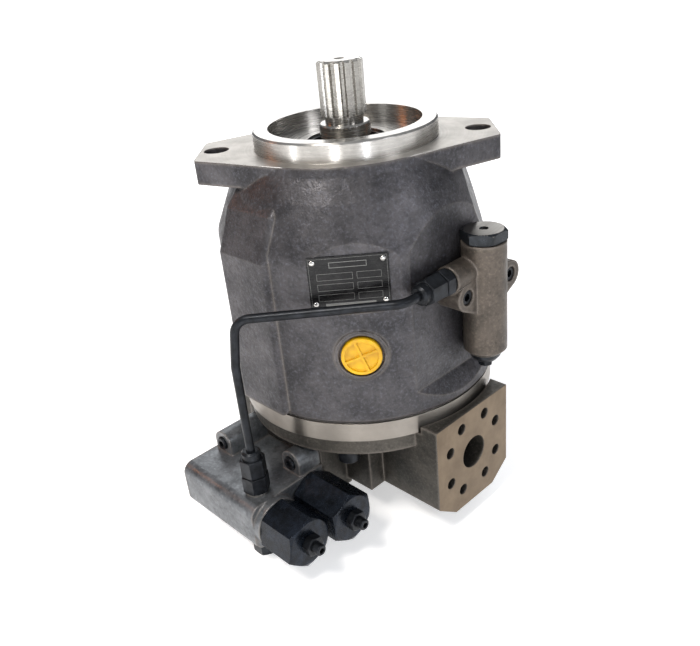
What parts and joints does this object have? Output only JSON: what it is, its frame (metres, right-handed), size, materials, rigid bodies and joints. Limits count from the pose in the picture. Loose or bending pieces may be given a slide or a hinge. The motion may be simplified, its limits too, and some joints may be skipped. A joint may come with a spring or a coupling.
{
  "type": "axial piston pump",
  "caption": "Swash-plate axial piston pump: flanged cast housing, splined shaft, side ports, pressure and flow control valve, power valve and steel pilot tube.",
  "frame": {"origin": "centre of the mounting flange's face, on the drive shaft's axis", "axes": "+Z along the drive shaft towards its splined end, +X out of the pressure port, -X out of the suction port, -Y towards the pressure and flow control valve"},
  "size_m": [0.2215, 0.2444, 0.3254],
  "materials": {
    "cast_iron_dark": "rough sand casting",
    "cast_iron_machined": "milled faces",
    "valve_iron": "fine casting",
    "power_valve_iron": "fine casting",
    "steel": "turned",
    "hard_steel": "ground",
    "black_steel": "black oxide",
    "bronze": "satin",
    "rubber": "moulded",
    "gasket_sheet": "flat sheet",
    "yellow_plastic": "moulded",
    "nameplate_black": "printed sheet",
    "rivet_aluminium": "bright"
  },
  "bodies": {
    "pump": {"housing": "cast_iron_dark", "port_plate": "cast_iron_machined", "housing_gasket": "gasket_sheet", "port_plate_bolts": "black_steel", "shaft_seal": "rubber", "seal_retaining_ring": "black_steel", "bearing_outer_races": "hard_steel", "swash_plate": "hard_steel", "cradle_bearings": "bronze", "stroking_piston": "hard_steel", "bias_piston": "hard_steel", "bias_spring": "hard_steel", "valve_plate": "bronze", "drain_plugs": "yellow_plastic", "nameplate": "nameplate_black", "nameplate_rivets": "rivet_aluminium", "control_valve_body": "valve_iron", "spring_caps": "black_steel", "lock_nuts": "black_steel", "valve_bolts": "black_steel", "valve_plugs": "black_steel", "power_valve_body": "power_valve_iron", "power_valve_adjuster": "black_steel", "tube_unions": "black_steel", "pilot_tube": "black_steel"},
    "rotor": {"drive_shaft": "steel", "cylinder_block": "hard_steel", "guide_ball": "hard_steel", "block_spring": "hard_steel", "bearing_inner_races": "hard_steel"},
    "retainer": {"retaining_plate": "hard_steel"},
    "front_rollers": {"front_bearing_rollers": "hard_steel"},
    "rear_rollers": {"rear_bearing_rollers": "hard_steel"},
    "pressure_seat": {"pressure_spring_seat": "steel"},
    "pressure_screw": {"pressure_adjusting_screw": "black_steel"},
    "flow_seat": {"flow_spring_seat": "steel"},
    "flow_screw": {"flow_adjusting_screw": "black_steel"},
    "pressure_spool_set": {"pressure_spool": "hard_steel", "pressure_spring": "hard_steel"},
    "flow_spool_set": {"flow_spool": "hard_steel", "flow_spring": "hard_steel"},
    "power_spool": {"power_valve_spool": "hard_steel"},
    "slipper_1": {"slipper_1": "bronze"},
    "piston_1": {"piston_1": "hard_steel"},
    "slipper_2": {"slipper_2": "bronze"},
    "piston_2": {"piston_2": "hard_steel"},
    "slipper_3": {"slipper_3": "bronze"},
    "piston_3": {"piston_3": "hard_steel"},
    "slipper_4": {"slipper_4": "bronze"},
    "piston_4": {"piston_4": "hard_steel"},
    "slipper_5": {"slipper_5": "bronze"},
    "piston_5": {"piston_5": "hard_steel"},
    "slipper_6": {"slipper_6": "bronze"},
    "piston_6": {"piston_6": "hard_steel"},
    "slipper_7": {"slipper_7": "bronze"},
    "piston_7": {"piston_7": "hard_steel"},
    "slipper_8": {"slipper_8": "bronze"},
    "piston_8": {"piston_8": "hard_steel"},
    "slipper_9": {"slipper_9": "bronze"},
    "piston_9": {"piston_9": "hard_steel"}
  },
  "joints": [
    {"name": "shaft_spin", "type": "hinge", "parent": "pump", "child": "rotor", "pos_m": [0, 0, 0], "axis": [0, 0, 1], "continuous": true},
    {"name": "retainer_spin", "type": "hinge", "parent": "pump", "child": "retainer", "pos_m": [0, 0, -0.096], "axis": [0, -0.3007, 0.9537], "continuous": true},
    {"name": "front_rollers_orbit", "type": "hinge", "parent": "pump", "child": "front_rollers", "pos_m": [0, 0, -0.024], "axis": [0, 0, 1], "continuous": true},
    {"name": "rear_rollers_orbit", "type": "hinge", "parent": "pump", "child": "rear_rollers", "pos_m": [0, 0, -0.19], "axis": [0, 0, 1], "continuous": true},
    {"name": "slipper_1_spin", "type": "hinge", "parent": "retainer", "child": "slipper_1", "pos_m": [0.04035, 0.00679, -0.09386], "axis": [0, -0.3007, 0.9537], "continuous": true},
    {"name": "piston_1_spin", "type": "hinge", "parent": "slipper_1", "child": "piston_1", "pos_m": [0.03939, 0.00695, -0.09381], "axis": [0, -0.3007, 0.9537], "continuous": true},
    {"name": "slipper_2_spin", "type": "hinge", "parent": "retainer", "child": "slipper_2", "pos_m": [0.02634, 0.02993, -0.08656], "axis": [0, -0.3007, 0.9537], "continuous": true},
    {"name": "piston_2_spin", "type": "hinge", "parent": "slipper_2", "child": "piston_2", "pos_m": [0.02571, 0.03064, -0.08634], "axis": [0, -0.3007, 0.9537], "continuous": true},
    {"name": "slipper_3_spin", "type": "hinge", "parent": "retainer", "child": "slipper_3", "pos_m": [0, 0.03907, -0.08368], "axis": [0, -0.3007, 0.9537], "continuous": true},
    {"name": "piston_3_spin", "type": "hinge", "parent": "slipper_3", "child": "piston_3", "pos_m": [0, 0.04, -0.08339], "axis": [0, -0.3007, 0.9537], "continuous": true},
    {"name": "slipper_4_spin", "type": "hinge", "parent": "retainer", "child": "slipper_4", "pos_m": [-0.02634, 0.02993, -0.08656], "axis": [0, -0.3007, 0.9537], "continuous": true},
    {"name": "piston_4_spin", "type": "hinge", "parent": "slipper_4", "child": "piston_4", "pos_m": [-0.02571, 0.03064, -0.08634], "axis": [0, -0.3007, 0.9537], "continuous": true},
    {"name": "slipper_5_spin", "type": "hinge", "parent": "retainer", "child": "slipper_5", "pos_m": [-0.04035, 0.00679, -0.09386], "axis": [0, -0.3007, 0.9537], "continuous": true},
    {"name": "piston_5_spin", "type": "hinge", "parent": "slipper_5", "child": "piston_5", "pos_m": [-0.03939, 0.00695, -0.09381], "axis": [0, -0.3007, 0.9537], "continuous": true},
    {"name": "slipper_6_spin", "type": "hinge", "parent": "retainer", "child": "slipper_6", "pos_m": [-0.03548, -0.01954, -0.10216], "axis": [0, -0.3007, 0.9537], "continuous": true},
    {"name": "piston_6_spin", "type": "hinge", "parent": "slipper_6", "child": "piston_6", "pos_m": [-0.03464, -0.02, -0.10231], "axis": [0, -0.3007, 0.9537], "continuous": true},
    {"name": "slipper_7_spin", "type": "hinge", "parent": "retainer", "child": "slipper_7", "pos_m": [-0.01401, -0.03672, -0.10758], "axis": [0, -0.3007, 0.9537], "continuous": true},
    {"name": "piston_7_spin", "type": "hinge", "parent": "slipper_7", "child": "piston_7", "pos_m": [-0.01368, -0.03759, -0.10785], "axis": [0, -0.3007, 0.9537], "continuous": true},
    {"name": "slipper_8_spin", "type": "hinge", "parent": "retainer", "child": "slipper_8", "pos_m": [0.01401, -0.03672, -0.10758], "axis": [0, -0.3007, 0.9537], "continuous": true},
    {"name": "piston_8_spin", "type": "hinge", "parent": "slipper_8", "child": "piston_8", "pos_m": [0.01368, -0.03759, -0.10785], "axis": [0, -0.3007, 0.9537], "continuous": true},
    {"name": "slipper_9_spin", "type": "hinge", "parent": "retainer", "child": "slipper_9", "pos_m": [0.03548, -0.01954, -0.10216], "axis": [0, -0.3007, 0.9537], "continuous": true},
    {"name": "piston_9_spin", "type": "hinge", "parent": "slipper_9", "child": "piston_9", "pos_m": [0.03464, -0.02, -0.10231], "axis": [0, -0.3007, 0.9537], "continuous": true},
    {"name": "pressure_screw_feed", "type": "slide", "parent": "pump", "child": "pressure_seat", "axis": [1, 0, 0], "range_m": [-0.0015, 0.0015]},
    {"name": "pressure_screw_turn", "type": "hinge", "parent": "pressure_seat", "child": "pressure_screw", "pos_m": [0.046, -0.127, -0.237], "axis": [1, 0, 0], "range_deg": [-541, 541]},
    {"name": "pressure_spool_shift", "type": "slide", "parent": "pump", "child": "pressure_spool_set", "axis": [1, 0, 0], "range_m": [0, 0.0025], "stiffness_N_per_m": 4000},
    {"name": "flow_screw_feed", "type": "slide", "parent": "pump", "child": "flow_seat", "axis": [1, 0, 0], "range_m": [-0.0015, 0.0015]},
    {"name": "flow_screw_turn", "type": "hinge", "parent": "flow_seat", "child": "flow_screw", "pos_m": [0.051, -0.091, -0.237], "axis": [1, 0, 0], "range_deg": [-541, 541]},
    {"name": "flow_spool_shift", "type": "slide", "parent": "pump", "child": "flow_spool_set", "axis": [1, 0, 0], "range_m": [0, 0.0025], "stiffness_N_per_m": 4000},
    {"name": "power_spool_shift", "type": "slide", "parent": "pump", "child": "power_spool", "axis": [0, 0, 1], "range_m": [0, 0.003], "stiffness_N_per_m": 4000}
  ],
  "couplings": [
    {"joint": "retainer_spin", "follows": "shaft_spin", "ratio": 1},
    {"joint": "front_rollers_orbit", "follows": "shaft_spin", "ratio": 0.434},
    {"joint": "rear_rollers_orbit", "follows": "shaft_spin", "ratio": 0.44},
    {"joint": "slipper_1_spin", "follows": "shaft_spin", "ratio": -2},
    {"joint": "piston_1_spin", "follows": "shaft_spin", "ratio": 1},
    {"joint": "slipper_2_spin", "follows": "shaft_spin", "ratio": -2},
    {"joint": "piston_2_spin", "follows": "shaft_spin", "ratio": 1},
    {"joint": "slipper_3_spin", "follows": "shaft_spin", "ratio": -2},
    {"joint": "piston_3_spin", "follows": "shaft_spin", "ratio": 1},
    {"joint": "slipper_4_spin", "follows": "shaft_spin", "ratio": -2},
    {"joint": "piston_4_spin", "follows": "shaft_spin", "ratio": 1},
    {"joint": "slipper_5_spin", "follows": "shaft_spin", "ratio": -2},
    {"joint": "piston_5_spin", "follows": "shaft_spin", "ratio": 1},
    {"joint": "slipper_6_spin", "follows": "shaft_spin", "ratio": -2},
    {"joint": "piston_6_spin", "follows": "shaft_spin", "ratio": 1},
    {"joint": "slipper_7_spin", "follows": "shaft_spin", "ratio": -2},
    {"joint": "piston_7_spin", "follows": "shaft_spin", "ratio": 1},
    {"joint": "slipper_8_spin", "follows": "shaft_spin", "ratio": -2},
    {"joint": "piston_8_spin", "follows": "shaft_spin", "ratio": 1},
    {"joint": "slipper_9_spin", "follows": "shaft_spin", "ratio": -2},
    {"joint": "piston_9_spin", "follows": "shaft_spin", "ratio": 1},
    {"joint": "pressure_screw_turn", "follows": "pressure_screw_feed", "rad_per_m": 6283.2},
    {"joint": "flow_screw_turn", "follows": "flow_screw_feed", "rad_per_m": 6283.2}
  ]
}
